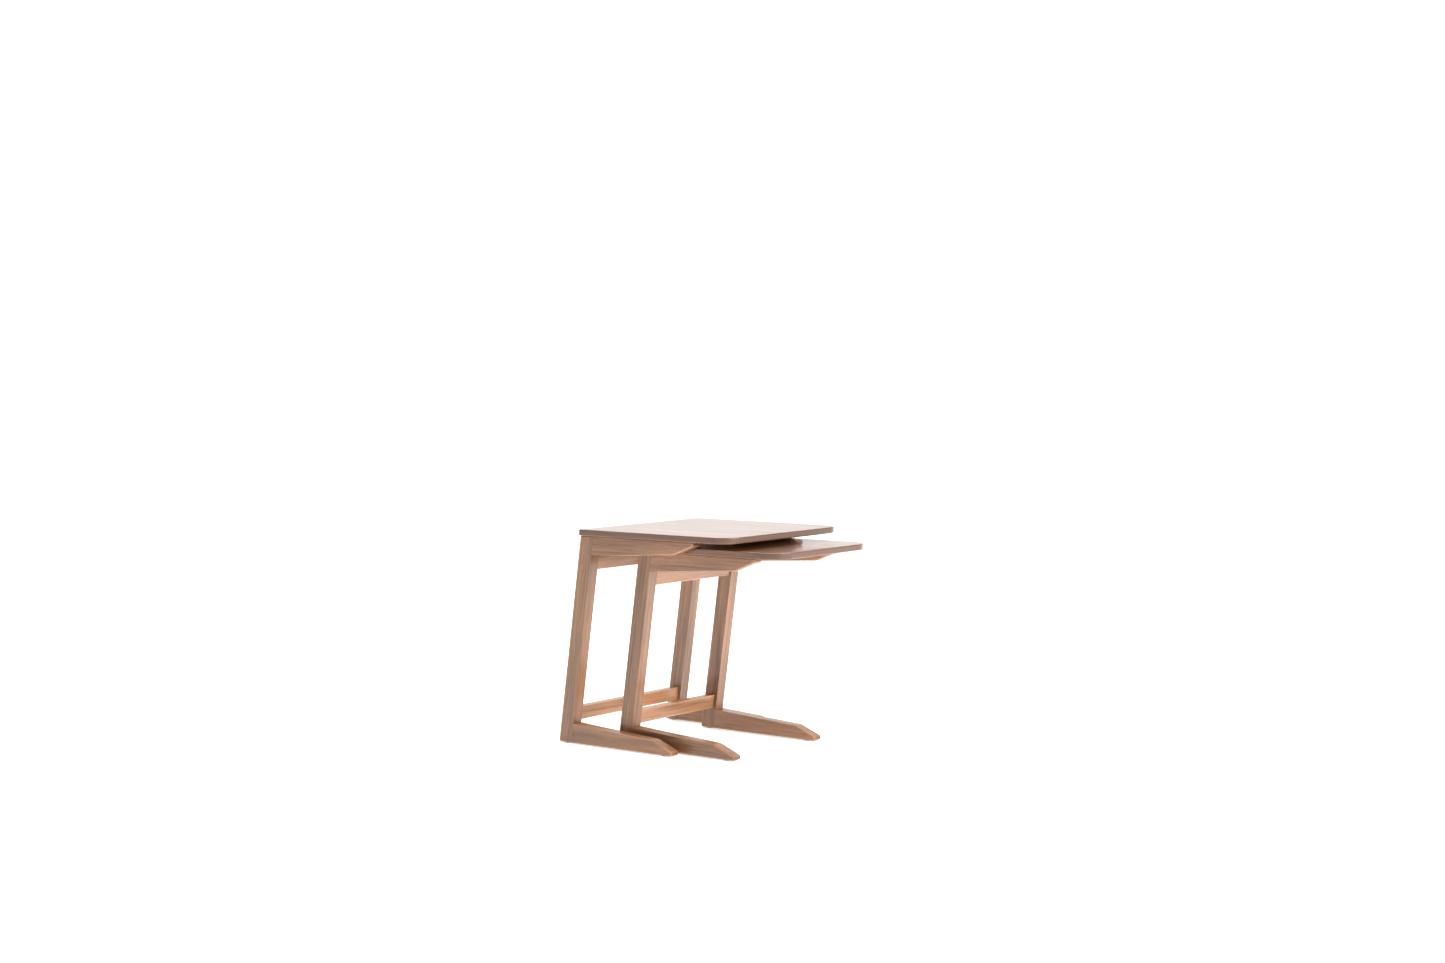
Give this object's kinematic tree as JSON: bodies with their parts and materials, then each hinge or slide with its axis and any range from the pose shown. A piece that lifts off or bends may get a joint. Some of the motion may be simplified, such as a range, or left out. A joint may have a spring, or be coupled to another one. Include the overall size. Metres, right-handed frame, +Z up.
{
  "type": "nesting tables",
  "caption": "Nesting side tables: round-cornered wooden tops on leaning C-shaped side frames, the smaller table drawn part of the way out of the larger.",
  "frame": {"origin": "centre of the footprint on the floor, with the inner table drawn out as at rest", "axes": "+Z up; -Y is the front, where the inner table slides out; X is the width"},
  "size_m": [0.49, 0.6675, 0.55],
  "materials": {
    "top_wood": "semi-gloss lacquer",
    "leg_wood": "satin lacquer",
    "rail_wood": "satin lacquer",
    "tenon_wood": "bare",
    "steel": "zinc-plated",
    "plastic": "matt"
  },
  "bodies": {
    "outer_table": {"outer_top": "top_wood", "outer_left_leg": "leg_wood", "outer_right_leg": "leg_wood", "outer_left_arm": "leg_wood", "outer_right_arm": "leg_wood", "outer_left_foot": "leg_wood", "outer_right_foot": "leg_wood", "outer_back_apron": "rail_wood", "outer_stretcher": "rail_wood", "outer_left_arm_tenon": "tenon_wood", "outer_left_foot_tenon": "tenon_wood", "outer_left_apron_tenon": "tenon_wood", "outer_left_stretcher_tenon": "tenon_wood", "outer_right_arm_tenon": "tenon_wood", "outer_right_foot_tenon": "tenon_wood", "outer_right_apron_tenon": "tenon_wood", "outer_right_stretcher_tenon": "tenon_wood", "outer_left_front_top_screw": "steel", "outer_left_back_top_screw": "steel", "outer_right_front_top_screw": "steel", "outer_right_back_top_screw": "steel", "outer_left_front_glide": "plastic", "outer_left_back_glide": "plastic", "outer_right_front_glide": "plastic", "outer_right_back_glide": "plastic"},
    "inner_table": {"inner_top": "top_wood", "inner_left_leg": "leg_wood", "inner_right_leg": "leg_wood", "inner_left_arm": "leg_wood", "inner_right_arm": "leg_wood", "inner_left_foot": "leg_wood", "inner_right_foot": "leg_wood", "inner_back_apron": "rail_wood", "inner_stretcher": "rail_wood", "inner_left_arm_tenon": "tenon_wood", "inner_left_foot_tenon": "tenon_wood", "inner_left_apron_tenon": "tenon_wood", "inner_left_stretcher_tenon": "tenon_wood", "inner_right_arm_tenon": "tenon_wood", "inner_right_foot_tenon": "tenon_wood", "inner_right_apron_tenon": "tenon_wood", "inner_right_stretcher_tenon": "tenon_wood", "inner_left_front_top_screw": "steel", "inner_left_back_top_screw": "steel", "inner_right_front_top_screw": "steel", "inner_right_back_top_screw": "steel", "inner_left_front_glide": "plastic", "inner_left_back_glide": "plastic", "inner_right_front_glide": "plastic", "inner_right_back_glide": "plastic"}
  },
  "joints": [
    {"name": "inner_slide", "type": "slide", "parent": "outer_table", "child": "inner_table", "axis": [0, -1, 0], "range_m": [-0.119, 0.4]}
  ]
}
